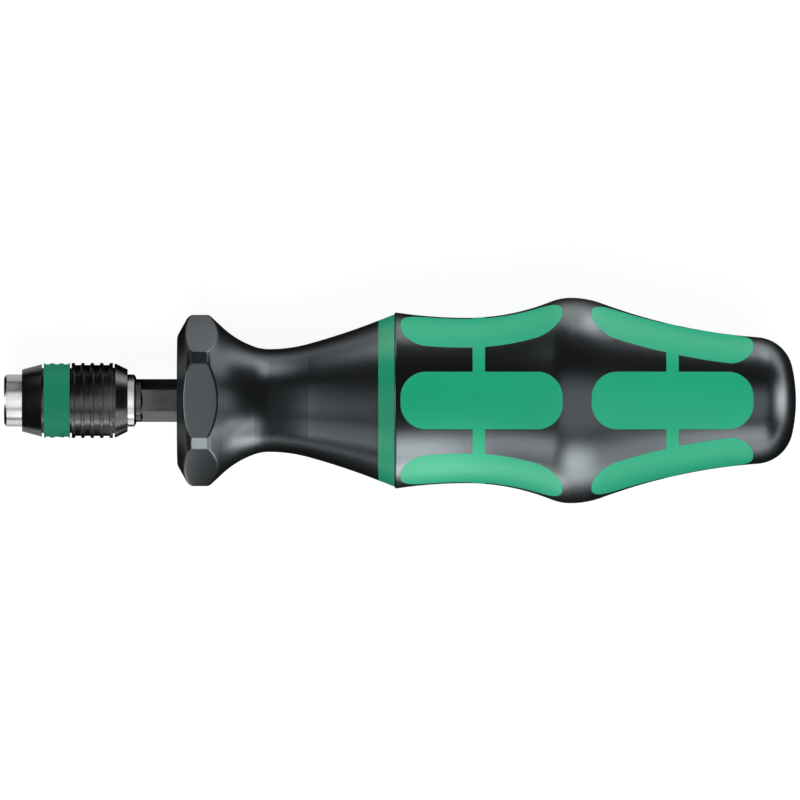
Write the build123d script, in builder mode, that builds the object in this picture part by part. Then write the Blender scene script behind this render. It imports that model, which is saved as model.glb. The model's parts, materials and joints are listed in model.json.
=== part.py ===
from build123d import *
from math import asin, atan2, cos, degrees, radians, sin, tan
import os

# Torque screwdriver with a quick-change bit chuck. Millimetres.
# The tool's axis is +X: the chuck's front face is at X = 0 and the handle's end is at the far
# end. +Z points up from the hexagonal collar's lowest flat, on which the tool lies.

# Fits, each one a gap between two surfaces
running_fit = 0.05
sliding_fit = 0.07
screw_fit = 0.05
end_play = 0.05
seat_gap = 0.1

# Bit socket and chuck body
socket_af = 6.4
socket_lead = 0.55
barrel_wall = 0.455
nose_step = 0.3
nose_length = 4.6
nose_chamfer = 0.42

# Spindle's end in the chuck body, with the magnet and the ejector spring in front of it
spigot_r = 3.0
spigot_length = 4.87
magnet_r = 2.0
magnet_length = 2.6
ejector_length = 4.5
ejector_wire = 0.4
ejector_turns = 5

# Locking balls and the collar that slides over them
lock_ball_r = 0.7
lock_ball_count = 3
ball_play = 0.03
lock_ball_setback = 1.5
lock_collar_length = 8.1
lock_collar_wall = 0.44
relief_length = 1.4
sleeve_travel = 2.0
washer_length = 0.5
return_spring_length = 4.4
return_spring_wire = 0.5
return_spring_turns = 3.5

# Sliding sleeve
lip_length = 1.44
sleeve_front_wall = 0.77
sleeve_wall = 0.39
sleeve_front_length = 3.33
sleeve_shoulder = 0.65
band_length = 4.41
band_gap_front = 0.38
band_gap_rear = 0.32
band_thickness = 0.64
band_rib_height = 0.16
band_groove_count = 3
band_panel_turn = 56.0
band_edge_rib = 0.25
band_middle_rib = 0.76
grip_rib_count = 5
grip_rib_width = 0.58
grip_rib_height = 0.34
rib_floor_wall = 0.9
rib_edge = 0.08

# Sleeve's rear cap and the stop ring behind it
cap_spigot_length = 0.8
cap_groove_width = 0.3
cap_neck_wall = 0.44
cap_rim_wall = 1.13
cap_rim_length = 0.2
cap_cone_length = 2.0
cap_cone_drop = 0.98
stop_ring_length = 1.42
stop_ring_wall = 0.7
stop_ring_bevel_length = 0.35
stop_ring_bevel_depth = 0.5
stop_seat_step = 0.4

# Spindle
neck_r = 3.65
neck_length = 1.13
neck_bevel_length = 0.35
shank_af = 6.35
shank_exposed = 5.84
shank_bevel_length = 0.55
shank_bevel_depth = 0.35
journal_r = 3.0
tail_length = 10.0
tail_chamfer = 0.5

# Front housing
hole_gap = 0.13
front_wall = 1.76
bush_length = 8.0
bush_wall = 1.55
bush_flange_length = 1.0
bush_flange_step = 0.8
cavity_length = 16.8
cavity_gap = 0.1
face_r = 10.95
collar_flats = 26.4
collar_corners = 29.15
collar_corner_round = 0.5
collar_edge_round = 0.5
collar_rim_over = 0.1
collar_rim_round = 1.8
collar_front_angle = 61
collar_rim_length = 3.29
flare_angle = 43
flare_arc_r = 15.5
flare_turn = 23.6
waist_arc_r = 7.5
waist_r = 8.75
bend_arc_r = 25.4
bend_turn = 15.3
cone_arc_r = 116
cone_length = 11.89
boss_wall = 1.5
boss_length = 12.3
boss_chamfer = 0.6
ring_length = 2.75

# Clutch tube and what it holds
tube_r = 9.3
tube_wall = 1.0
tube_front_wall = 1.5
tube_hole_gap = 0.4
tube_tail = 1.5
key_count = 3
key_width = 2.6
key_depth = 0.5
thrust_length = 0.8
disc_length = 3.2
clutch_ball_r = 1.5
clutch_ball_count = 6
pocket_count = 12
ball_engagement = 0.9
pocket_play = 0.05
clutch_gap = 0.95
clutch_pitch_r = 5.9
circlip_length = 0.7
circlip_bite = 0.4
circlip_rim = 1.6
circlip_gap = 2.2
plate_length = 4.0
hub_length = 2.5
hub_gap = 0.15
main_spring_length = 28.5
main_spring_wire = 2.0
main_spring_r = 6.0
main_spring_turns = 6.5
seat_length = 2.5
adjusting_nut_length = 5.5
lock_nut_length = 3.0
nut_socket_af = 8.0
seat_hole_r = 2.0

# Handle
grip_wall = 3.18
grip_edge_r = 0.3
front_arc_r = 80.0
valley_from_front = 12.3
bulge_from_valley = 17.7
bulge_rise = 3.42
crest_front_r = 9.0
crest_rear_r = 15.0
crest_turn = 20.4
tail_arc_r = 96.0
tail_turn = 16.3
end_corner_r = 6.5
end_cap_r = 26.0
core_step = 2.8
core_length = 9.0

# Soft inlays, flush with the handle
inlay_count = 6
inlay_thickness = 1.3
pad_length = 27.5
pad_width = 9.76
pad_corner_r = 4.3
pad_setback = 1.03
pad_row_gap = 4.95
strip_width = 2.1
first_strip_setback = 0.46

# Half of a hexagon across its corners, for 1 across its flats
corner_share = 1 / (2 * cos(radians(30)))

# Radii of the chuck, from the socket outwards
socket_corner_r = socket_af * corner_share
barrel_r = socket_corner_r + barrel_wall
nose_r = barrel_r + nose_step
collar_bore_r = barrel_r + sliding_fit
lock_ball_pitch_r = collar_bore_r - lock_ball_r - ball_play
relief_r = socket_af / 2 + 2 * lock_ball_r + 2 * ball_play
lock_collar_r = relief_r + lock_collar_wall
sleeve_bore_r = lock_collar_r + running_fit
lip_bore_r = nose_r + sliding_fit
band_seat_r = sleeve_bore_r + sleeve_wall
rib_floor_r = sleeve_bore_r + rib_floor_wall
grip_rib_r = rib_floor_r + grip_rib_height
stop_seat_r = barrel_r - stop_seat_step

# Places along the chuck
washer_x = nose_length
return_spring_x = washer_x + washer_length
lock_collar_x = return_spring_x + return_spring_length
lock_ball_x = lock_collar_x + lock_ball_setback
lock_collar_end = lock_collar_x + lock_collar_length
cap_x = lock_collar_end + seat_gap
sleeve_end = cap_x + cap_spigot_length
cap_rim_x = sleeve_end + cap_groove_width
cap_end = cap_rim_x + cap_rim_length + cap_cone_length
stop_ring_x = cap_end + end_play
chuck_end = stop_ring_x + stop_ring_length
lip_end = nose_length - seat_gap
sleeve_x = lip_end - lip_length
recess_x = sleeve_x + sleeve_front_length
band_x = recess_x + band_gap_front
recess_end = band_x + band_length + band_gap_rear
spigot_x = chuck_end - spigot_length
socket_depth = spigot_x - magnet_length
relief_x = lock_ball_x + sleeve_travel - relief_length / 2
relief_end = relief_x + relief_length

# Places along the spindle and the front housing
shank_x = chuck_end + neck_length
housing_x = shank_x + shank_exposed
bush_x = housing_x + front_wall
shank_end = bush_x - seat_gap
bush_end = bush_x + bush_length
cavity_x = bush_end + bush_flange_length
tube_x = cavity_x + cavity_length
tube_floor_x = tube_x + tube_front_wall
disc_x = tube_floor_x + thrust_length + end_play
disc_end = disc_x + disc_length
circlip_x = disc_end + end_play
tail_end = circlip_x + tail_length
clutch_ball_x = disc_end + clutch_ball_r - ball_engagement
plate_x = disc_end + clutch_gap
plate_end = plate_x + plate_length
spring_seat_x = plate_end + main_spring_length
adjusting_nut_x = spring_seat_x + seat_length
lock_nut_x = adjusting_nut_x + adjusting_nut_length
tube_end = lock_nut_x + lock_nut_length + tube_tail

# Radii in the handle, from the spindle and from the clutch tube outwards
shank_corner_r = shank_af * corner_share
bush_bore_r = journal_r + running_fit
bush_r = bush_bore_r + bush_wall
bush_flange_r = bush_r + bush_flange_step
cavity_r = bush_flange_r + cavity_gap
seat_flats = journal_r / corner_share
tail_r = seat_flats / 2
tube_bore_r = tube_r - tube_wall
thread_r = tube_bore_r
boss_bore_r = tube_r + running_fit
boss_r = boss_bore_r + boss_wall
grip_bore_r = boss_r + screw_fit
valley_r = grip_bore_r + grip_wall
hub_r = main_spring_r - main_spring_wire / 2 - hub_gap

# Outline of the front housing: a steep front cone, the rim, a straight flare that two arcs carry
# into the waist, and two more that carry the waist into the hollow rear cone
rim_r = collar_corners / 2 + collar_rim_over
rim_x = housing_x + (rim_r - face_r) / tan(radians(collar_front_angle))
flare_x = rim_x + collar_rim_length
waist_turn = flare_angle - flare_turn
arc_drop = (flare_arc_r * (cos(radians(waist_turn)) - cos(radians(flare_angle)))
            + waist_arc_r * (1 - cos(radians(waist_turn))))
flare_drop = rim_r - waist_r - arc_drop
flare_end_x = flare_x + flare_drop / tan(radians(flare_angle))
waist_x = (flare_end_x + flare_arc_r * (sin(radians(flare_angle)) - sin(radians(waist_turn)))
           + waist_arc_r * sin(radians(waist_turn)))
cone_x = waist_x + bend_arc_r * sin(radians(bend_turn))
cone_r = waist_r + bend_arc_r * (1 - cos(radians(bend_turn)))
cone_end_angle = degrees(asin(sin(radians(bend_turn)) + cone_length / cone_arc_r))
ring_x = cone_x + cone_length
ring_r = cone_r + cone_arc_r * (cos(radians(bend_turn)) - cos(radians(cone_end_angle)))
grip_x = ring_x + ring_length
ring_end_r = ring_r + ring_length * tan(radians(cone_end_angle))
boss_end = ring_x + boss_length

# Outline of the handle: each bend is an arc, tangent to the next, and turns are in degrees
bulge_r = valley_r + bulge_rise
valley_x = grip_x + valley_from_front
bulge_x = valley_x + bulge_from_valley
rise_turn = 2 * degrees(atan2(bulge_rise, bulge_from_valley))
rise_arc_r = bulge_from_valley / sin(radians(rise_turn)) - crest_front_r
tail_x = bulge_x + crest_rear_r * sin(radians(crest_turn))
tail_start_r = bulge_r - crest_rear_r * (1 - cos(radians(crest_turn)))
tail_slope = crest_turn - tail_turn
corner_x = tail_x + tail_arc_r * (sin(radians(crest_turn)) - sin(radians(tail_slope)))
corner_start_r = tail_start_r - tail_arc_r * (cos(radians(tail_slope)) - cos(radians(crest_turn)))
corner_centre_x = corner_x - end_corner_r * sin(radians(tail_slope))
corner_centre_r = corner_start_r - end_corner_r * cos(radians(tail_slope))
cap_turn = degrees(asin(corner_centre_r / (end_cap_r - end_corner_r)))
corner_turn = 90 - cap_turn - tail_slope
cap_centre_x = corner_centre_x - (end_cap_r - end_corner_r) * cos(radians(cap_turn))
first_pad_x = grip_x + pad_setback
second_pad_x = first_pad_x + pad_length + pad_row_gap

os.makedirs("parts", exist_ok=True)


def turn(outline, mode=Mode.ADD):
    """Revolve a closed half section, given as points of axial place and radius."""
    with BuildSketch(Plane.XZ) as section:
        with BuildLine():
            Polyline(*outline, close=True)
        make_face()
    revolve(section.sketch, axis=Axis.X, mode=mode)


def ring(start, end, inner, outer, mode=Mode.ADD):
    """Plain ring round the axis, or a rod where the inner radius is 0."""
    turn([(start, inner), (end, inner), (end, outer), (start, outer)], mode)


def hexagon(start, end, across_flats, mode=Mode.ADD):
    """Hexagonal bar along the axis, with a flat on top and a flat below."""
    with BuildSketch(Plane.YZ.offset(start)) as section:
        RegularPolygon(across_flats / 2, 6, major_radius=False)
    extrude(section.sketch, amount=end - start, mode=mode)


def spring(start, end, radius, wire, turns):
    """Open coil spring of square wire, ground flat where it meets its two seats."""
    with BuildLine() as path:
        Helix(pitch=(end - start) / turns, height=end - start, radius=radius,
              center=(start, 0, 0), direction=(1, 0, 0))
    with BuildSketch(Plane(path.line @ 0, x_dir=(1, 0, 0), z_dir=path.line % 0)) as section:
        Rectangle(wire, wire)
    sweep(section.sketch, path=path.line, is_frenet=True)
    ring(start, end, radius - wire, radius + wire, Mode.INTERSECT)


def keys(start, end, radius, width, mode=Mode.ADD):
    """Bars that reach out from the axis to a radius, spread evenly round it."""
    with BuildSketch(Plane.YZ.offset(start)) as section:
        with PolarLocations(0, key_count, start_angle=90):
            Rectangle(radius, width, align=(Align.MIN, Align.CENTER))
    extrude(section.sketch, amount=end - start, mode=mode)


def handle_section(inset):
    """Half section of the handle, moved in from its surface by an even depth."""
    front_r = front_arc_r + inset
    front_turn = asin(valley_from_front / front_r)
    front_start_r = valley_r + front_arc_r - front_r * cos(front_turn)
    with BuildSketch(Plane.XZ) as section:
        with BuildLine():
            front = JernArc((grip_x, front_start_r), (cos(front_turn), -sin(front_turn)),
                            front_r, degrees(front_turn))
            rise = JernArc(front @ 1, front % 1, rise_arc_r + inset, rise_turn)
            crest_front = JernArc(rise @ 1, rise % 1, crest_front_r - inset, -rise_turn)
            crest_rear = JernArc(crest_front @ 1, crest_front % 1, crest_rear_r - inset,
                                 -crest_turn)
            tail = JernArc(crest_rear @ 1, crest_rear % 1, tail_arc_r + inset, tail_turn)
            corner = JernArc(tail @ 1, tail % 1, end_corner_r - inset, -corner_turn)
            cap_end_x = cap_centre_x + end_cap_r - inset
            TangentArc(corner @ 1, (cap_end_x, 0), tangent=corner % 1)
            Polyline((cap_end_x, 0), (grip_x, 0), front @ 0)
        make_face()
    return section.sketch


def pad_row(start, strip_x):
    """Rounded pads, one on each side of the handle, and the strip that joins them."""
    middle = Plane((start + pad_length / 2, 0, 0), x_dir=(1, 0, 0), z_dir=(0, 0, 1))
    for side in range(inlay_count):
        with BuildSketch(middle.rotated((side * 360 / inlay_count, 0, 0))) as pad:
            RectangleRounded(pad_length, pad_width, pad_corner_r)
        extrude(pad.sketch, amount=2 * bulge_r)
    ring(strip_x - strip_width / 2, strip_x + strip_width / 2, 0, 2 * bulge_r)


# Chuck body: turned bar with the hexagon socket, a bore for the spindle's spigot and a window
# for each locking ball, whose inner end is a seat that the ball can't fall through
with BuildPart() as chuck_body:
    turn([(0, 0), (0, nose_r - nose_chamfer), (nose_chamfer, nose_r), (nose_length, nose_r),
          (nose_length, barrel_r), (stop_ring_x, barrel_r), (stop_ring_x, stop_seat_r),
          (chuck_end, stop_seat_r), (chuck_end, 0)])
    hexagon(0, socket_depth, socket_af, Mode.SUBTRACT)
    ring(socket_depth, chuck_end, 0, spigot_r, Mode.SUBTRACT)
    turn([(0, 0), (0, socket_af / 2 + socket_lead), (socket_lead, socket_af / 2),
          (socket_lead, 0)], Mode.SUBTRACT)
    with Locations(Plane.YZ.offset(lock_ball_x)):
        with PolarLocations(lock_ball_pitch_r, lock_ball_count, start_angle=90):
            Sphere(lock_ball_r + ball_play, mode=Mode.SUBTRACT)
            Cylinder(lock_ball_r + ball_play, barrel_r, rotation=(0, 90, 0),
                     align=(Align.CENTER, Align.CENTER, Align.MIN), mode=Mode.SUBTRACT)
chuck_body.part.label = "chuck_body"
export_step(chuck_body.part, "parts/chuck_body.step")

# Locking balls: each one stands proud of a flat of the socket, with its back on the collar's land
with BuildPart() as locking_balls:
    with Locations(Plane.YZ.offset(lock_ball_x)):
        with PolarLocations(lock_ball_pitch_r, lock_ball_count, start_angle=90):
            Sphere(lock_ball_r)
locking_balls.part.label = "locking_balls"
export_step(locking_balls.part, "parts/locking_balls.step")

# Magnet on the spindle's spigot, at the bottom of the socket, and the ejector spring round it
with BuildPart() as bit_magnet:
    ring(socket_depth, spigot_x, 0, magnet_r)
bit_magnet.part.label = "bit_magnet"
export_step(bit_magnet.part, "parts/bit_magnet.step")

with BuildPart() as ejector_spring:
    spring(spigot_x - ejector_length, spigot_x, (magnet_r + spigot_r) / 2, ejector_wire,
           ejector_turns)
ejector_spring.part.label = "ejector_spring"
export_step(ejector_spring.part, "parts/ejector_spring.step")

# Lock collar: its front land holds the balls in; slid forward, its relief lets them out
with BuildPart() as lock_collar:
    ring(lock_collar_x, lock_collar_end, collar_bore_r, lock_collar_r)
    ramp = relief_r - collar_bore_r
    turn([(relief_x - ramp, collar_bore_r), (relief_x, relief_r), (relief_end, relief_r),
          (relief_end + ramp, collar_bore_r)], Mode.SUBTRACT)
lock_collar.part.label = "lock_collar"
export_step(lock_collar.part, "parts/lock_collar.step")

# Return spring between the nose's shoulder, with its washer, and the lock collar
with BuildPart() as spring_washer:
    ring(washer_x, return_spring_x, barrel_r + running_fit, sleeve_bore_r - seat_gap)
spring_washer.part.label = "spring_washer"
export_step(spring_washer.part, "parts/spring_washer.step")

with BuildPart() as return_spring:
    spring(return_spring_x, lock_collar_x, (barrel_r + sleeve_bore_r) / 2, return_spring_wire,
           return_spring_turns)
return_spring.part.label = "return_spring"
export_step(return_spring.part, "parts/return_spring.step")

# Sleeve: a lip in front of the washer, a conical front, a recess for the band, and ribs
with BuildPart() as outer_sleeve:
    turn([(sleeve_x, lip_bore_r), (sleeve_x, lip_bore_r + sleeve_front_wall),
          (recess_x, band_seat_r + sleeve_shoulder), (recess_x, band_seat_r),
          (recess_end, band_seat_r), (recess_end, grip_rib_r), (sleeve_end, grip_rib_r),
          (sleeve_end, sleeve_bore_r), (lip_end, sleeve_bore_r), (lip_end, lip_bore_r)])
    rib_pitch = (sleeve_end - recess_end - grip_rib_width) / (grip_rib_count - 1)
    for rib in range(grip_rib_count - 1):
        groove_x = recess_end + rib * rib_pitch + grip_rib_width
        groove_end = recess_end + (rib + 1) * rib_pitch
        turn([(groove_x - rib_edge, grip_rib_r), (groove_x, grip_rib_r - rib_edge),
              (groove_x, rib_floor_r), (groove_end, rib_floor_r),
              (groove_end, grip_rib_r - rib_edge), (groove_end + rib_edge, grip_rib_r)],
             Mode.SUBTRACT)
outer_sleeve.part.label = "outer_sleeve"
export_step(outer_sleeve.part, "parts/outer_sleeve.step")

# Elastomer band stretched into the sleeve's recess: two smooth panels on opposite sides and, between
# them, grooves that leave a thin rib at each edge and wide ones in the middle
with BuildPart() as sleeve_band:
    band_r = band_seat_r + band_thickness
    ring(band_x, band_x + band_length, band_seat_r, band_r + band_rib_height)
    middle_ribs = (band_groove_count - 1) * band_middle_rib
    groove_width = (band_length - 2 * band_edge_rib - middle_ribs) / band_groove_count
    groove_x = band_x + band_edge_rib + groove_width / 2
    groove_pitch = groove_width + band_middle_rib
    groove_height = 2 * band_r * cos(radians(band_panel_turn))
    for groove in range(band_groove_count):
        with Locations((groove_x + groove * groove_pitch, 0, 0)):
            Box(groove_width, 4 * band_r, groove_height, mode=Mode.SUBTRACT)
    ring(band_x, band_x + band_length, band_seat_r, band_r)
sleeve_band.part.label = "sleeve_band"
export_step(sleeve_band.part, "parts/sleeve_band.step")

# Cap pressed into the sleeve's rear, which traps the lock collar
with BuildPart() as sleeve_cap:
    cap_rim_r = sleeve_bore_r + cap_rim_wall
    turn([(cap_x, collar_bore_r), (cap_x, sleeve_bore_r), (sleeve_end, sleeve_bore_r),
          (sleeve_end, sleeve_bore_r + cap_neck_wall), (cap_rim_x, sleeve_bore_r + cap_neck_wall),
          (cap_rim_x, cap_rim_r), (cap_rim_x + cap_rim_length, cap_rim_r),
          (cap_end, cap_rim_r - cap_cone_drop), (cap_end, collar_bore_r)])
sleeve_cap.part.label = "sleeve_cap"
export_step(sleeve_cap.part, "parts/sleeve_cap.step")

# Ring pressed on the chuck body: the sleeve's rear stop
with BuildPart() as rear_collar:
    stop_ring_r = stop_seat_r + stop_ring_wall
    turn([(stop_ring_x, stop_seat_r), (stop_ring_x, stop_ring_r),
          (chuck_end - stop_ring_bevel_length, stop_ring_r),
          (chuck_end, stop_ring_r - stop_ring_bevel_depth), (chuck_end, stop_seat_r)])
rear_collar.part.label = "rear_collar"
export_step(rear_collar.part, "parts/rear_collar.step")

# Spindle: spigot, round neck, hexagonal shank milled from the same bar, journal, seat for the disc
# and tail
with BuildPart() as spindle:
    hexagon(chuck_end, shank_end, shank_af)
    turn([(chuck_end, 0), (chuck_end, neck_r), (shank_end - shank_bevel_length, neck_r),
          (shank_end, neck_r - shank_bevel_depth), (shank_end, 0)], Mode.INTERSECT)
    turn([(chuck_end, 0), (chuck_end, neck_r), (shank_x - neck_bevel_length, neck_r),
          (shank_x, shank_af / 2), (shank_x, 0)])
    ring(spigot_x, chuck_end, 0, spigot_r)
    ring(shank_end, disc_x, 0, journal_r)
    hexagon(disc_x, disc_end, seat_flats)
    turn([(disc_end, 0), (disc_end, tail_r), (tail_end - tail_chamfer, tail_r),
          (tail_end, tail_r - tail_chamfer), (tail_end, 0)])
    ring(disc_end, circlip_x + circlip_length + end_play, tail_r - circlip_bite, journal_r,
         Mode.SUBTRACT)
spindle.part.label = "spindle"
export_step(spindle.part, "parts/spindle.step")

# Flanged bush, pressed into the housing from behind
with BuildPart() as front_bush:
    turn([(bush_x, bush_bore_r), (bush_x, bush_r), (bush_end, bush_r),
          (bush_end, bush_flange_r), (cavity_x, bush_flange_r), (cavity_x, bush_bore_r)])
front_bush.part.label = "front_bush"
export_step(front_bush.part, "parts/front_bush.step")

# Front housing: a hexagonal anti-roll collar with cut corners and soft edges, cone faced in front
# and flared behind, on a slim waist; the boss behind it screws into the handle
with BuildPart() as front_housing:
    with BuildSketch(Plane.XZ):
        with BuildLine():
            front = FilletPolyline((housing_x, 0), (housing_x, face_r), (rim_x, rim_r),
                                   (flare_x, rim_r), (flare_end_x, rim_r - flare_drop),
                                   radius=collar_rim_round)
            flare = JernArc(front @ 1, front % 1, flare_arc_r, flare_turn)
            waist = JernArc(flare @ 1, flare % 1, waist_arc_r, waist_turn)
            Polyline(waist @ 1, (waist_x, 0), (housing_x, 0))
        make_face()
    revolve(axis=Axis.X)
    with BuildSketch(Plane.YZ.offset(housing_x)) as collar_form:
        RegularPolygon(collar_flats / 2, 6, major_radius=False)
        RegularPolygon(collar_corners / 2, 6, major_radius=False, rotation=30,
                       mode=Mode.INTERSECT)
        fillet(collar_form.vertices(), collar_corner_round)
    extrude(amount=waist_x - housing_x, mode=Mode.INTERSECT)
    collar_sides = front_housing.faces().filter_by(GeomType.PLANE).filter_by(Axis.X, reverse=True)
    fillet([edge for edge in collar_sides.edges() if edge.geom_type != GeomType.LINE],
           collar_edge_round)
    with BuildSketch(Plane.XZ):
        with BuildLine():
            bend = JernArc((waist_x, waist_r), (1, 0), bend_arc_r, bend_turn)
            cone = JernArc(bend @ 1, bend % 1, cone_arc_r, cone_end_angle - bend_turn)
            Polyline(cone @ 1, (ring_x, boss_r),
                     (boss_end - boss_chamfer, boss_r), (boss_end, boss_r - boss_chamfer),
                     (boss_end, 0), (waist_x, 0), (waist_x, waist_r))
        make_face()
    revolve(axis=Axis.X)
    ring(housing_x, bush_x, 0, shank_corner_r + hole_gap, Mode.SUBTRACT)
    ring(bush_x, bush_end, 0, bush_r, Mode.SUBTRACT)
    ring(bush_end, tube_x, 0, cavity_r, Mode.SUBTRACT)
    ring(tube_x, boss_end, 0, boss_bore_r, Mode.SUBTRACT)
front_housing.part.label = "front_housing"
export_step(front_housing.part, "parts/front_housing.step")

# Accent ring on the boss, held between the housing's shoulder and the handle
with BuildPart() as accent_ring:
    turn([(ring_x, boss_r), (ring_x, ring_r), (grip_x, ring_end_r), (grip_x, boss_r)])
accent_ring.part.label = "accent_ring"
export_step(accent_ring.part, "parts/accent_ring.step")

# Clutch tube: closed in front apart from the spindle's hole, keyways open to the rear
with BuildPart() as clutch_tube:
    ring(tube_x, tube_end, journal_r + tube_hole_gap, tube_r)
    ring(tube_floor_x, tube_end, 0, tube_bore_r, Mode.SUBTRACT)
    keys(plate_x - seat_gap, tube_end, tube_bore_r + key_depth, key_width + 2 * running_fit,
         Mode.SUBTRACT)
clutch_tube.part.label = "clutch_tube"
export_step(clutch_tube.part, "parts/clutch_tube.step")

with BuildPart() as thrust_washer:
    ring(tube_floor_x, tube_floor_x + thrust_length, journal_r + running_fit,
         tube_bore_r - seat_gap)
thrust_washer.part.label = "thrust_washer"
export_step(thrust_washer.part, "parts/thrust_washer.step")

# Driven disc on the spindle's seat, with the clutch's ball pockets in its rear face
with BuildPart() as driven_disc:
    ring(disc_x, disc_end, 0, tube_bore_r - seat_gap)
    hexagon(disc_x, disc_end, seat_flats + running_fit, Mode.SUBTRACT)
    with Locations(Plane.YZ.offset(clutch_ball_x)):
        with PolarLocations(clutch_pitch_r, pocket_count):
            Sphere(clutch_ball_r + pocket_play, mode=Mode.SUBTRACT)
driven_disc.part.label = "driven_disc"
export_step(driven_disc.part, "parts/driven_disc.step")

with BuildPart() as spindle_circlip:
    ring(circlip_x, circlip_x + circlip_length, tail_r - circlip_bite + running_fit,
         tail_r + circlip_rim)
    with BuildSketch(Plane.YZ.offset(circlip_x)):
        Rectangle(journal_r + circlip_rim, circlip_gap, align=(Align.MIN, Align.CENTER))
    extrude(amount=circlip_length, mode=Mode.SUBTRACT)
spindle_circlip.part.label = "spindle_circlip"
export_step(spindle_circlip.part, "parts/spindle_circlip.step")

with BuildPart() as clutch_balls:
    with Locations(Plane.YZ.offset(clutch_ball_x)):
        with PolarLocations(clutch_pitch_r, clutch_ball_count):
            Sphere(clutch_ball_r)
clutch_balls.part.label = "clutch_balls"
export_step(clutch_balls.part, "parts/clutch_balls.step")

# Pressure plate: keyed in the tube, guided on the spindle's tail, with a hub in the main spring
with BuildPart() as pressure_plate:
    ring(plate_x, plate_end, 0, tube_bore_r - running_fit)
    keys(plate_x, plate_end, tube_bore_r + key_depth - running_fit, key_width)
    ring(plate_end, plate_end + hub_length, 0, hub_r)
    ring(plate_x, plate_end + hub_length, 0, tail_r + running_fit, Mode.SUBTRACT)
    with Locations(Plane.YZ.offset(clutch_ball_x)):
        with PolarLocations(clutch_pitch_r, clutch_ball_count):
            Sphere(clutch_ball_r + pocket_play, mode=Mode.SUBTRACT)
pressure_plate.part.label = "pressure_plate"
export_step(pressure_plate.part, "parts/pressure_plate.step")

with BuildPart() as main_spring:
    spring(plate_end, spring_seat_x, main_spring_r, main_spring_wire, main_spring_turns)
main_spring.part.label = "main_spring"
export_step(main_spring.part, "parts/main_spring.step")

with BuildPart() as spring_seat:
    ring(spring_seat_x, adjusting_nut_x, seat_hole_r, tube_bore_r - seat_gap)
    ring(spring_seat_x - hub_length, spring_seat_x, seat_hole_r, hub_r)
spring_seat.part.label = "spring_seat"
export_step(spring_seat.part, "parts/spring_seat.step")

# Adjusting nut and lock nut in the tube's thread, each turned by its hexagon socket
with BuildPart() as adjusting_nut:
    ring(adjusting_nut_x, lock_nut_x, 0, thread_r)
    hexagon(adjusting_nut_x, lock_nut_x, nut_socket_af, Mode.SUBTRACT)
adjusting_nut.part.label = "adjusting_nut"
export_step(adjusting_nut.part, "parts/adjusting_nut.step")

with BuildPart() as lock_nut:
    ring(lock_nut_x, lock_nut_x + lock_nut_length, 0, thread_r)
    hexagon(lock_nut_x, lock_nut_x + lock_nut_length, nut_socket_af, Mode.SUBTRACT)
lock_nut.part.label = "lock_nut"
export_step(lock_nut.part, "parts/lock_nut.step")

# Whole form of the handle, and the floor that its soft inlays lie on
with BuildPart() as handle_form:
    revolve(handle_section(0), axis=Axis.X)
    fillet(handle_form.edges().filter_by(GeomType.CIRCLE).sort_by(Axis.X)[0], grip_edge_r)

with BuildPart() as inlay_floor:
    revolve(handle_section(inlay_thickness), axis=Axis.X)

# Soft inlays: pads in two rows, each row one moulding with its strip, flush with the handle
with BuildPart() as front_grip_inlay:
    pad_row(first_pad_x, first_pad_x + pad_length / 2 - first_strip_setback)
    add(handle_form.part, mode=Mode.INTERSECT)
    add(inlay_floor.part, mode=Mode.SUBTRACT)
front_grip_inlay.part.label = "front_grip_inlay"
export_step(front_grip_inlay.part, "parts/front_grip_inlay.step")

with BuildPart() as rear_grip_inlay:
    pad_row(second_pad_x, second_pad_x + pad_length / 2)
    add(handle_form.part, mode=Mode.INTERSECT)
    add(inlay_floor.part, mode=Mode.SUBTRACT)
rear_grip_inlay.part.label = "rear_grip_inlay"
export_step(rear_grip_inlay.part, "parts/rear_grip_inlay.step")

# Hard half of the handle: screwed on the housing's boss, pressed on the tube, cored behind it
with BuildPart() as grip_core:
    add(handle_form.part)
    add(front_grip_inlay.part, mode=Mode.SUBTRACT)
    add(rear_grip_inlay.part, mode=Mode.SUBTRACT)
    ring(grip_x, boss_end + seat_gap, 0, grip_bore_r, Mode.SUBTRACT)
    ring(boss_end + seat_gap, tube_end, 0, tube_r, Mode.SUBTRACT)
    ring(tube_end, tube_end + core_length, 0, tube_r - core_step, Mode.SUBTRACT)
grip_core.part.label = "grip_core"
export_step(grip_core.part, "parts/grip_core.step")
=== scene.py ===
import json
import math

import bpy
from mathutils import Matrix, Vector


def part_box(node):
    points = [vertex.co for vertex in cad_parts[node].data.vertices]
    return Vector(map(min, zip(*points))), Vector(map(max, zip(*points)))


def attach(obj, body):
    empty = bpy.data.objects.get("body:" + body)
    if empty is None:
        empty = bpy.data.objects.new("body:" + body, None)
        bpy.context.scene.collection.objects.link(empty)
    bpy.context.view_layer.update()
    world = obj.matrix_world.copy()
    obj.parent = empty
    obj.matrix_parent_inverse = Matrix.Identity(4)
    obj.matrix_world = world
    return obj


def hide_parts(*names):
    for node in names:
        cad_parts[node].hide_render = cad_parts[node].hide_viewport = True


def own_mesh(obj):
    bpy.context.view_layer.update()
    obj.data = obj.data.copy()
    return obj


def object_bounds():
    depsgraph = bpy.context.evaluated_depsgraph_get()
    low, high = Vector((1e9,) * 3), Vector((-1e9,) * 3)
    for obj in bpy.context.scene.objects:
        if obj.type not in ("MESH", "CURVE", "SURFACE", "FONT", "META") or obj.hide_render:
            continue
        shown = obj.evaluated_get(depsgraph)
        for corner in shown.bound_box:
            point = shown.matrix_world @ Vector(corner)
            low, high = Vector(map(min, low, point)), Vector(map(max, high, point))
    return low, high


# Torque screwdriver: the finishes of its pieces, its coil springs, and a plain studio round it.
# Metres, in the part's own frame: the tool's axis is +X, and it lies on the side that faces -Z.

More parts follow.
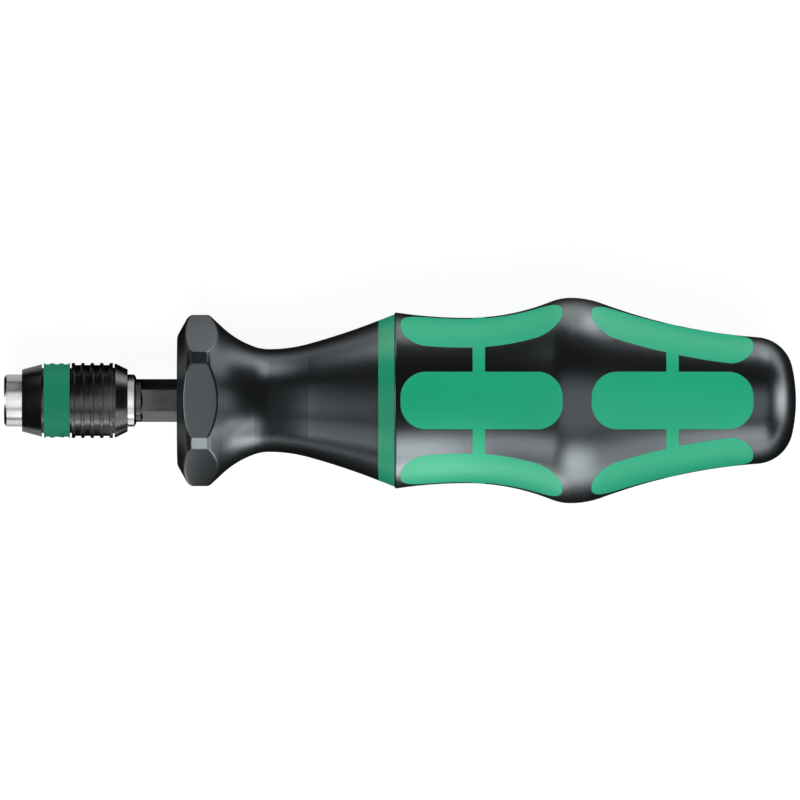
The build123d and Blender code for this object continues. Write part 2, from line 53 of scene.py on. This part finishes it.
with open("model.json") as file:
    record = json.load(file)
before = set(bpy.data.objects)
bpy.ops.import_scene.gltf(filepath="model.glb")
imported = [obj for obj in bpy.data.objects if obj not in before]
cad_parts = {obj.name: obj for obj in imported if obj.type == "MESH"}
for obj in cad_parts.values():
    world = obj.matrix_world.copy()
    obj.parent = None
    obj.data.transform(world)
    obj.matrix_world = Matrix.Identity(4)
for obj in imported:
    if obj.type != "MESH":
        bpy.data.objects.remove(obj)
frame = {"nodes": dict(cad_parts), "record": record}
cad_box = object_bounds()
mm = 0.001
white = (1, 1, 1, 1)

# Camera, straight above the tool, at a scale that puts it where the photograph has it
image_side = 800
pixel = 0.1702 * mm
tip_pixel = 4.2
axis_pixel = 400.5
camera_distance = 5.0
sensor_width = 36

# Finishes: a fine noise and one that is coarser and deeper make the relief, and the middle of the
# coarse one's range sets the sheen
noise_detail = 2.0
noise_middle = (0.3, 0.7)
coarse_size = 6
coarse_depth = 2
drawn_squeeze = 0.02

# Softened edges: the black mouldings have rounder ones than the other pieces
fine_edge = 0.06 * mm
moulded_edge = 0.10 * mm
edge_samples = 6

# Springs of round wire: thickness and turns of each, and how finely their meshes are divided
main_wire = 2.0 * mm
main_turns = 7.5
return_wire = 0.5 * mm
return_turns = 4.2
ejector_wire = 0.38 * mm
ejector_turns = 6.0
wire_sides = 16
steps_per_turn = 40

# Ends of a spring: turns that lie closed, their pitch in wires, turns over which the pitch opens,
# and the share of the wire that is ground off.
closed_turns = 0.75
closed_pitch = 1.02
opening_turns = 0.5
ground_share = 0.25

# World: white to the camera, nearly dark in a gloss, and a low even light on the matt colours
world_gloss = 0.02
world_ambient = 0.28

# Floor: white to the camera, with a share of the lit floor and its shadow near the tool, and an
# even pale tone where it lights the tool
floor_side = 6.0
floor_white = 1.2
floor_tone = 0.75
shadow_share = 0.27
shadow_inner = 0.12
shadow_outer = 0.40
contact_passes = 4

# The floor in a gloss, a painted reflection: it glows for glossy rays alone, with a painted bright
# field on each side of the tool, far at +Y and near at -Y, which weakens towards the tip and ends
# in front of the collar, painted shade under the tool between the fields, and a painted bright
# strip under the nose and one under the shank. A pair of places is where a ramp starts and ends:
# across the tool it is measured away from the axis, and along the tool from the floor's middle.
gloss_far = (0.026, 0.060)
gloss_far_level = 1.7
gloss_near = (0.036, 0.130)
gloss_near_level = 1.7
gloss_start = (-0.046, -0.037)
gloss_along = (-0.030, 0.030)
gloss_front_share = 0.50
gloss_nose = (-0.070, -0.063)
gloss_nose_levels = (0.55, 1.0)
gloss_shank = (-0.048, -0.0385)
gloss_shank_levels = (0.0, 1.3)
gloss_side = (0.016, 0.024)
gloss_fade = 0.003

# Lamps: watts for a square metre of face as bright as a white card, and places that some share
face_power = 4
nose_x = 0.0005
collar_x = 0.0335
gap_x = 0.074
matt_aim = (0.068, 0, 0)
matt_size = (0.500, 0.250)


# Making objects and shader nodes

def new_object(name, data):
    """New object in the scene, with that mesh, lamp or camera."""
    made = bpy.data.objects.new(name, data)
    bpy.context.scene.collection.objects.link(made)
    return made


def set_sockets(node, inputs):
    """Set a node's unlinked sockets, whose names are written with _ for a space."""
    for name, value in inputs.items():
        node.inputs[name.replace("_", " ")].default_value = value


def add(tree, kind, settings=None, **inputs):
    """New shader node, with its own settings and the values of its unlinked sockets."""
    node = tree.nodes.new(kind)
    for name, value in (settings or {}).items():
        setattr(node, name, value)
    set_sockets(node, inputs)
    return node


# Materials of the pieces

def solid_place(tree):
    """Place in the part's frame, in metres."""
    return add(tree, "ShaderNodeTexCoord").outputs["Object"]


def spun_place(tree):
    """Place along the axis and distance from it: the same all the way round a turned piece."""
    parts = add(tree, "ShaderNodeSeparateXYZ")
    tree.links.new(solid_place(tree), parts.inputs[0])
    across = add(tree, "ShaderNodeCombineXYZ")
    tree.links.new(parts.outputs["Y"], across.inputs["Y"])
    tree.links.new(parts.outputs["Z"], across.inputs["Z"])
    radius = add(tree, "ShaderNodeVectorMath", {"operation": "LENGTH"})
    tree.links.new(across.outputs[0], radius.inputs[0])
    spun = add(tree, "ShaderNodeCombineXYZ")
    tree.links.new(parts.outputs["X"], spun.inputs["X"])
    tree.links.new(radius.outputs["Value"], spun.inputs["Y"])
    return spun.outputs[0]


def drawn_place(tree):
    """Place squeezed along the axis, for the long fine lines of drawn bar."""
    squeeze = add(tree, "ShaderNodeVectorMath", {"operation": "MULTIPLY"})
    squeeze.inputs[1].default_value = (drawn_squeeze, 1, 1)
    tree.links.new(solid_place(tree), squeeze.inputs[0])
    return squeeze.outputs[0]


def noise(tree, place, size):
    """Noise whose features are about that size, in metres."""
    texture = add(tree, "ShaderNodeTexNoise", Scale=1 / size, Detail=noise_detail)
    tree.links.new(place, texture.inputs["Vector"])
    return texture.outputs["Fac"]


def spread(tree, factor, low, high):
    """The middle of a noise's range, stretched from low to high."""
    ranged = add(tree, "ShaderNodeMapRange", From_Min=noise_middle[0], From_Max=noise_middle[1],
                 To_Min=low, To_Max=high)
    tree.links.new(factor, ranged.inputs["Value"])
    return ranged.outputs["Result"]


def tint(tree, factor, color, change):
    """A colour that drifts a little darker and lighter with a noise."""
    mix = add(tree, "ShaderNodeMix", {"data_type": "RGBA"})
    dark, light = [socket for socket in mix.inputs if socket.type == "RGBA"]
    dark.default_value = (*[c * (1 - change) for c in color], 1)
    light.default_value = (*[c * (1 + change) for c in color], 1)
    tree.links.new(factor, mix.inputs[0])
    return next(socket for socket in mix.outputs if socket.type == "RGBA")


def soft_edges(tree, radius):
    """Normal that rounds each sharp edge by a small radius."""
    bevel = add(tree, "ShaderNodeBevel", {"samples": edge_samples}, Radius=radius)
    return bevel.outputs["Normal"]


def relief(tree, normal, heights):
    """Normal with one bump on another, each given as a height field and its depth in metres."""
    for height, depth in heights:
        bump = add(tree, "ShaderNodeBump", Strength=1.0, Distance=depth)
        tree.links.new(height, bump.inputs["Height"])
        tree.links.new(normal, bump.inputs["Normal"])
        normal = bump.outputs["Normal"]
    return normal


def finish(name, color, roughness, drift, grain, metallic=0.0, place=solid_place, edge=fine_edge,
           **sockets):
    """Material with a drifting colour, an uneven sheen, softened edges and a fine relief.

    Roughness is the lowest and the highest, drift a share of the colour and the length over which
    it changes, and grain a size and a depth. The sockets are others of the shader's own.
    """
    material = bpy.data.materials.new(name)
    material.use_nodes = True
    tree = material.node_tree
    shader = tree.nodes["Principled BSDF"]
    set_sockets(shader, {"Metallic": metallic, **sockets})
    change, length = drift
    size, depth = grain
    where = place(tree)
    cloud = noise(tree, solid_place(tree), length)
    fine = noise(tree, where, size)
    coarse = noise(tree, where, size * coarse_size)
    tree.links.new(tint(tree, cloud, color, change), shader.inputs["Base Color"])
    tree.links.new(spread(tree, coarse, *roughness), shader.inputs["Roughness"])
    heights = [(fine, depth), (coarse, depth * coarse_depth)]
    tree.links.new(relief(tree, soft_edges(tree, edge), heights), shader.inputs["Normal"])
    return material


# A finish for each material slot, which the nodes of that slot are given

finishes = {
    "bright_steel": finish(
        "bright_turned_steel", (0.68, 0.68, 0.67), roughness=(0.16, 0.25), drift=(0.04, 3 * mm),
        grain=(0.09 * mm, 0.0006 * mm), metallic=1.0, place=spun_place),
    "dark_steel": finish(
        "dark_drawn_steel", (0.085, 0.085, 0.088), roughness=(0.16, 0.28), drift=(0.10, 2 * mm),
        grain=(0.08 * mm, 0.0015 * mm), metallic=1.0, place=drawn_place),
    "black_sleeve": finish(
        "black_plated_sleeve", (0.0006, 0.0006, 0.0008), roughness=(0.22, 0.27),
        drift=(0.15, 3 * mm), grain=(0.10 * mm, 0.0002 * mm), place=spun_place,
        Specular_IOR_Level=1.0),
    "band_rubber": finish(
        "band_elastomer", (0.010, 0.225, 0.118), roughness=(0.42, 0.54), drift=(0.05, 3 * mm),
        grain=(0.10 * mm, 0.001 * mm), Specular_IOR_Level=0.2),
    "black_plastic": finish(
        "black_moulded_plastic", (0.0030, 0.0035, 0.0045), roughness=(0.28, 0.32),
        drift=(0.12, 9 * mm), grain=(0.10 * mm, 0.0003 * mm), edge=moulded_edge, IOR=1.6,
        Specular_IOR_Level=1.0, Specular_Tint=(0.84, 0.95, 1.0, 1)),
    "green_plastic": finish(
        "green_moulded_ring", (0.001, 0.31, 0.153), roughness=(0.34, 0.42), drift=(0.04, 6 * mm),
        grain=(0.10 * mm, 0.0005 * mm), Specular_IOR_Level=0.8),
    "green_rubber": finish(
        "green_soft_grip", (0.001, 0.41, 0.208), roughness=(0.46, 0.54), drift=(0.04, 6 * mm),
        grain=(0.14 * mm, 0.001 * mm), Specular_IOR_Level=0.6),
    "inner_steel": finish(
        "machined_steel", (0.46, 0.46, 0.45), roughness=(0.22, 0.36), drift=(0.06, 4 * mm),
        grain=(0.12 * mm, 0.0015 * mm), metallic=1.0, place=spun_place),
    "spring_steel": finish(
        "oiled_spring_wire", (0.26, 0.26, 0.27), roughness=(0.22, 0.34), drift=(0.10, 2 * mm),
        grain=(0.15 * mm, 0.0015 * mm), metallic=1.0),
    "bronze": finish(
        "sintered_bronze", (0.46, 0.30, 0.14), roughness=(0.36, 0.52), drift=(0.12, 2 * mm),
        grain=(0.12 * mm, 0.004 * mm), metallic=1.0),
}

slot_of = {part["node"]: part["material_slot"] for part in frame["record"]["subparts"]}
for node_name, node in frame["nodes"].items():
    node.data.materials.clear()
    node.data.materials.append(finishes[slot_of[node_name]])


# Springs

def wire_line(start, end, radius, wire, turns):
    """Points along the middle of a coil's wire, whose end turns lie closed against the next."""
    steps = round(turns * steps_per_turn)
    opened = []
    for step in range(steps):
        turn = (step + 0.5) / steps_per_turn
        from_end = min(turn, turns - turn)
        opened.append(min(1, max(0, (from_end - closed_turns) / opening_turns)))
    inset = wire * (0.5 - ground_share)
    length = end - start - 2 * inset
    open_steps = sum(opened)
    closed_rise = wire * closed_pitch / steps_per_turn
    open_rise = (length - closed_rise * (steps - open_steps)) / open_steps
    x = start + inset
    points = []
    for step in range(steps + 1):
        angle = 2 * math.pi * step / steps_per_turn
        points.append(Vector((x, radius * math.cos(angle), radius * math.sin(angle))))
        if step < steps:
            x += closed_rise + (open_rise - closed_rise) * opened[step]
    return points


def wire_corners(line, wire, start, end):
    """Corners of a round wire along a line, ring by ring, kept between the spring's flat ends."""
    corners = []
    for i, point in enumerate(line):
        along = (line[min(i + 1, len(line) - 1)] - line[max(i - 1, 0)]).normalized()
        outward = Vector((0, point.y, point.z)).normalized()
        across = along.cross(outward)
        for side in range(wire_sides):
            angle = 2 * math.pi * side / wire_sides
            corner = point + wire / 2 * (math.cos(angle) * outward + math.sin(angle) * across)
            corner.x = min(end, max(start, corner.x))
            corners.append(corner)
    return corners


def wire_faces(rings):
    """Faces between rings of corners, and one that closes each end."""
    faces = []
    for ring in range(rings - 1):
        here, there = ring * wire_sides, (ring + 1) * wire_sides
        for side in range(wire_sides):
            beside = (side + 1) % wire_sides
            faces.append((here + side, there + side, there + beside, here + beside))
    last = (rings - 1) * wire_sides
    faces.append(tuple(range(wire_sides)))
    faces.append(tuple(reversed(range(last, last + wire_sides))))
    return faces


def coil(name, node, wire, turns):
    """Compression spring of round wire in a CAD spring's place, with its ends ground flat."""
    low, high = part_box(node)
    line = wire_line(low.x, high.x, high.y - wire / 2, wire, turns)
    mesh = bpy.data.meshes.new(name)
    mesh.from_pydata(wire_corners(line, wire, low.x, high.x), [], wire_faces(len(line)))
    mesh.shade_smooth()
    mesh.materials.append(finishes["spring_steel"])
    piece = new_object(name, mesh)
    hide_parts(node)
    return piece


def pressed(piece, body):
    """A spring hung on a body, with a mesh of its own."""
    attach(piece, body)
    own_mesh(piece)


main_coil = coil("main_spring_coil", "main_spring", main_wire, main_turns)
pressed(main_coil, "handle")
return_coil = coil("return_spring_coil", "return_spring", return_wire, return_turns)
pressed(return_coil, "spindle")
ejector_coil = coil("ejector_spring_coil", "ejector_spring", ejector_wire, ejector_turns)
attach(ejector_coil, "spindle")


# Studio: floor, world, lamps and camera

def ramp(tree, value, start, end, low, high):
    """A value carried smoothly from low to high between two places."""
    ranged = add(tree, "ShaderNodeMapRange", {"interpolation_type": "SMOOTHSTEP"}, From_Min=start,
                 From_Max=end, To_Min=low, To_Max=high)
    tree.links.new(value, ranged.inputs["Value"])
    return ranged.outputs["Result"]


def combine(tree, operation, first, second):
    """Sum, product or another combination of two values."""
    node = add(tree, "ShaderNodeMath", {"operation": operation})
    tree.links.new(first, node.inputs[0])
    tree.links.new(second, node.inputs[1])
    return node.outputs[0]


def window(tree, value, start, end):
    """1 between two places, fading to 0 just outside them."""
    return combine(tree, "MULTIPLY", ramp(tree, value, start - gloss_fade, start, 0.0, 1.0),
                   ramp(tree, value, end, end + gloss_fade, 1.0, 0.0))


def choose(tree, factor, first, second):
    """The first shader where the factor is 0, and the second where it is 1."""
    mix = add(tree, "ShaderNodeMixShader")
    tree.links.new(factor, mix.inputs[0])
    tree.links.new(first, mix.inputs[1])
    tree.links.new(second, mix.inputs[2])
    return mix.outputs[0]


def seen_floor(tree, place):
    """The floor to the camera: white, and near the tool in part the lit floor with its shadow."""
    away = add(tree, "ShaderNodeVectorMath", {"operation": "LENGTH"})
    tree.links.new(place, away.inputs[0])
    share = ramp(tree, away.outputs["Value"], shadow_inner, shadow_outer, shadow_share, 0.0)
    glow = add(tree, "ShaderNodeEmission", Color=white, Strength=floor_white)
    lit = add(tree, "ShaderNodeBsdfDiffuse", Color=white)
    return choose(tree, share, glow.outputs[0], lit.outputs[0])


def painted_floor_reflection(tree, place):
    """The floor in a gloss, painted: bright fields beside the tool, shade under it, and two strips.
    """
    parts = add(tree, "ShaderNodeSeparateXYZ")
    tree.links.new(place, parts.inputs[0])
    x, y = parts.outputs["X"], parts.outputs["Y"]
    # Painted bright fields beside the tool, with painted shade under it where neither reaches
    far_side = ramp(tree, y, *gloss_far, 0.0, gloss_far_level)
    near_side = ramp(tree, y, -gloss_near[0], -gloss_near[1], 0.0, gloss_near_level)
    along = combine(tree, "MULTIPLY", ramp(tree, x, *gloss_start, 0.0, 1.0),
                    ramp(tree, x, *gloss_along, gloss_front_share, 1.0))
    strength = combine(tree, "MULTIPLY", combine(tree, "ADD", far_side, near_side), along)
    # Painted bright strips under the nose and under the shank
    for reach, levels in ((gloss_nose, gloss_nose_levels), (gloss_shank, gloss_shank_levels)):
        side = ramp(tree, y, -gloss_side[0], -gloss_side[1], *levels)
        strip = combine(tree, "MULTIPLY", window(tree, x, *reach), side)
        strength = combine(tree, "ADD", strength, strip)
    glow = add(tree, "ShaderNodeEmission", Color=white)
    tree.links.new(strength, glow.inputs["Strength"])
    return glow.outputs[0]


def floor_material():
    """One look for the camera, a painted one for a gloss, one for other rays, and clear from below.
    """
    material = bpy.data.materials.new("pale_floor")
    material.use_nodes = True
    material.cycles.emission_sampling = "NONE"  # its glow is seen, and in a gloss is a painted reflection; it lights nothing
    tree = material.node_tree
    tree.nodes.clear()
    place = solid_place(tree)
    pale = add(tree, "ShaderNodeBsdfDiffuse", Color=(floor_tone, floor_tone, floor_tone, 1))
    rays = add(tree, "ShaderNodeLightPath").outputs
    other = choose(tree, rays["Is Glossy Ray"], pale.outputs[0], painted_floor_reflection(tree, place))
    above = choose(tree, rays["Is Camera Ray"], other, seen_floor(tree, place))
    below = add(tree, "ShaderNodeNewGeometry").outputs["Backfacing"]
    clear = add(tree, "ShaderNodeBsdfTransparent").outputs[0]
    output = add(tree, "ShaderNodeOutputMaterial")
    tree.links.new(choose(tree, below, above, clear), output.inputs["Surface"])
    return material


def floor_plane():
    """Slope of the surface under the tool, and the point of the handle that it touches.

    It touches the collar as well: each pass finds the handle's lowest point above a surface of the
    last slope, and the slope at which a surface through that point meets the collar.
    """
    housing = [v.co for v in frame["nodes"]["front_housing"].data.vertices]
    handle = [v.co for v in frame["nodes"]["grip_core"].data.vertices]
    slope = 0.0
    for _ in range(contact_passes):
        rear = min(handle, key=lambda p: p.z + slope * p.x)
        slope = min((p.z - rear.z) / (rear.x - p.x) for p in housing)
    return slope, rear


def make_floor():
    """Square floor with its middle under the tool's, on the surface that the tool lies on."""
    slope, rear = floor_plane()
    middle_x = (cad_box[0].x + cad_box[1].x) / 2
    half = floor_side / 2
    mesh = bpy.data.meshes.new("floor")
    mesh.from_pydata([(-half, -half, 0), (half, -half, 0), (half, half, 0), (-half, half, 0)], [],
                     [(0, 1, 2, 3)])
    mesh.materials.append(floor_material())
    floor = new_object("floor", mesh)
    height = rear.z + slope * (rear.x - middle_x)
    floor.matrix_world = (Matrix.Translation((middle_x, 0, height))
                          @ Matrix.Rotation(math.atan(slope), 4, "Y"))


def make_world():
    """Plain white world whose strength depends on the ray that meets it."""
    world = bpy.data.worlds.new("studio")
    bpy.context.scene.world = world
    world.use_nodes = True
    tree = world.node_tree
    background = tree.nodes["Background"]
    set_sockets(background, {"Color": white})
    rays = add(tree, "ShaderNodeLightPath").outputs
    seen = ramp(tree, rays["Is Camera Ray"], 0.0, 1.0, world_gloss, 1.0)
    ambient = ramp(tree, rays["Is Diffuse Ray"], 0.0, 1.0, 0.0, world_ambient)
    tree.links.new(combine(tree, "ADD", seen, ambient), background.inputs["Strength"])


def fade_face(lamp, fade):
    """Fade a lamp's face out towards its edges, over a share of its width and of its height."""
    lamp.use_nodes = True
    tree = lamp.node_tree
    parts = add(tree, "ShaderNodeSeparateXYZ")
    tree.links.new(add(tree, "ShaderNodeNewGeometry").outputs["Parametric"], parts.inputs[0])
    fades = []
    for axis, share in zip("XY", fade):
        fades.append(ramp(tree, parts.outputs[axis], 0.0, share, 0.0, 1.0))
        fades.append(ramp(tree, parts.outputs[axis], 1.0, 1.0 - share, 0.0, 1.0))
    strength = fades[0]
    for other in fades[1:]:
        strength = combine(tree, "MULTIPLY", strength, other)
    tree.links.new(strength, tree.nodes["Emission"].inputs["Strength"])


def softbox(name, place, aim, size, level, fade, mirrored=True):
    """Area lamp at a place, facing another, with a face of that width and height.

    Its level is how bright the middle of its face is, where 1 is a white card in full light, and
    the face fades over a share of its width and height. It either shows in a gloss, or lights the
    matt share of each colour.
    """
    width, height = size
    lamp = bpy.data.lights.new(name, "AREA")
    lamp.shape = "RECTANGLE"
    lamp.size = width
    lamp.size_y = height
    lamp.energy = level * face_power * width * height
    fade_face(lamp, fade)
    box = new_object(name, lamp)
    box.location = place
    box.rotation_euler = (Vector(aim) - Vector(place)).to_track_quat("-Z", "Y").to_euler()
    box.visible_camera = False
    box.visible_glossy = mirrored
    box.visible_diffuse = not mirrored


def side_lamp(name, place, **looks):
    """Softbox beside the tool that faces straight across it, level."""
    softbox(name, place, aim=(place[0], 0, place[2]), **looks)


def top_lamp(name, place, **looks):
    """Softbox above the tool that faces straight down."""
    softbox(name, place, aim=(place[0], place[1], 0), **looks)


def make_lamps():
    """Softboxes for the glosses, near and far, and two for the matt share of the colours."""
    # At -Y: the handle, the black between its pads, and the waist
    side_lamp("key", (0.140, -0.120, 0.050), size=(0.150, 0.170), level=1.35, fade=(0.2, 0.45))
    side_lamp("bulge", (0.098, -0.032, 0.0215), size=(0.038, 0.046), level=2.4, fade=(0.45, 0.5))
    side_lamp("gap", (gap_x, -0.032, 0.025), size=(0.026, 0.048), level=1.8, fade=(0.3, 0.45))
    side_lamp("front_gap", (gap_x, -0.022, 0.013), size=(0.018, 0.040), level=1.1, fade=(0.45, 0.4))
    side_lamp("rear_gap", (0.135, -0.030, 0.022), size=(0.032, 0.044), level=0.9, fade=(0.35, 0.45))
    side_lamp("waist", (0.073, -0.050, -0.004), size=(0.046, 0.026), level=2.8, fade=(0.3, 0.3))

    # At -Y and aimed downwards: the collar's corner, the chuck, and its ribs
    softbox("corner", (collar_x, -0.016, 0.0183), aim=(collar_x, 0, 0.0090),
            size=(0.011, 0.008), level=3.2, fade=(0.2, 0.2))
    softbox("fill", (0.009, -0.060, 0.035), aim=(0.009, 0, 0.005),
            size=(0.044, 0.070), level=1.15, fade=(0.35, 0.35))
    softbox("rib", (0.015, -0.060, 0.018), aim=(0.015, 0, 0.005),
            size=(0.026, 0.020), level=2.3, fade=(0.25, 0.3))

    # At +Y: thin lights along that side's outline
    side_lamp("rim", (0.050, 0.045, 0.018), size=(0.030, 0.044), level=2.2, fade=(0.4, 0.45))
    side_lamp("shoulder", (0.107, 0.035, 0.006), size=(0.014, 0.022), level=1.8, fade=(0.4, 0.4))
    side_lamp("end_side", (0.139, 0.035, 0.004), size=(0.020, 0.024), level=1.0, fade=(0.4, 0.4))
    side_lamp("low_rim", (0.175, 0.250, 0.010), size=(0.250, 0.050), level=1.1, fade=(0.3, 0.3))

    # Above: the broad light on the handle, the collar and the sleeve
    top_lamp("top", (0.117, -0.004, 0.032), size=(0.072, 0.042), level=0.66, fade=(0.15, 0.35))
    top_lamp("collar", (collar_x, 0, 0.030), size=(0.015, 0.040), level=0.70, fade=(0.25, 0.3))
    top_lamp("sleeve", (0.012, -0.012, 0.060), size=(0.024, 0.070), level=0.85, fade=(0.3, 0.4))

    # The collar's flat at +Y, and the bright steel of the nose and of the ring behind the sleeve
    side_lamp("flat", (collar_x, 0.0205, 0.002), size=(0.011, 0.014), level=0.25, fade=(0.2, 0.2))
    top_lamp("nose_top", (nose_x, 0, 0.030), size=(0.012, 0.060), level=0.84, fade=(0.2, 0.3))
    top_lamp("ring_top", (0.0215, 0, 0.030), size=(0.010, 0.080), level=0.75, fade=(0.2, 0.3))
    softbox("nose_side", (nose_x, 0.016, 0.010), aim=(nose_x, 0, 0.004),
            size=(0.006, 0.018), level=0.25, fade=(0.3, 0.3))
    softbox("ring_side", (0.0218, 0.020, 0.011), aim=(0.0218, 0, 0.006),
            size=(0.006, 0.022), level=0.45, fade=(0.2, 0.25))

    # Behind the handle's end, and far in front of the tip
    softbox("end", (0.185, 0, 0.014), aim=(0.130, 0, 0.008),
            size=(0.072, 0.070), level=4.4, fade=(0.5, 0.5))
    softbox("tip", (-0.530, 0, 0.110), aim=(0.030, 0, 0),
            size=(0.300, 0.200), level=6.0, fade=(0.2, 0.2))

    # For the matt colours alone, one from each side
    softbox("near_matt", (0.100, -0.265, 0.424), aim=matt_aim,
            size=matt_size, level=4.7, fade=(0.2, 0.2), mirrored=False)
    softbox("far_matt", (0.100, 0.492, 0.087), aim=matt_aim,
            size=matt_size, level=4.8, fade=(0.2, 0.2), mirrored=False)


def make_camera():
    """Camera at the photograph's scale, with the tip and the axis at their pixels."""
    camera = bpy.data.cameras.new("camera")
    camera.sensor_width = sensor_width
    camera.lens = sensor_width * camera_distance / (image_side * pixel)
    eye = new_object("camera", camera)
    eye.location = ((image_side / 2 - tip_pixel) * pixel, (axis_pixel - image_side / 2) * pixel,
                    camera_distance)
    bpy.context.scene.camera = eye


make_floor()
make_world()
make_lamps()
make_camera()
bpy.context.scene.view_settings.view_transform = "Standard"
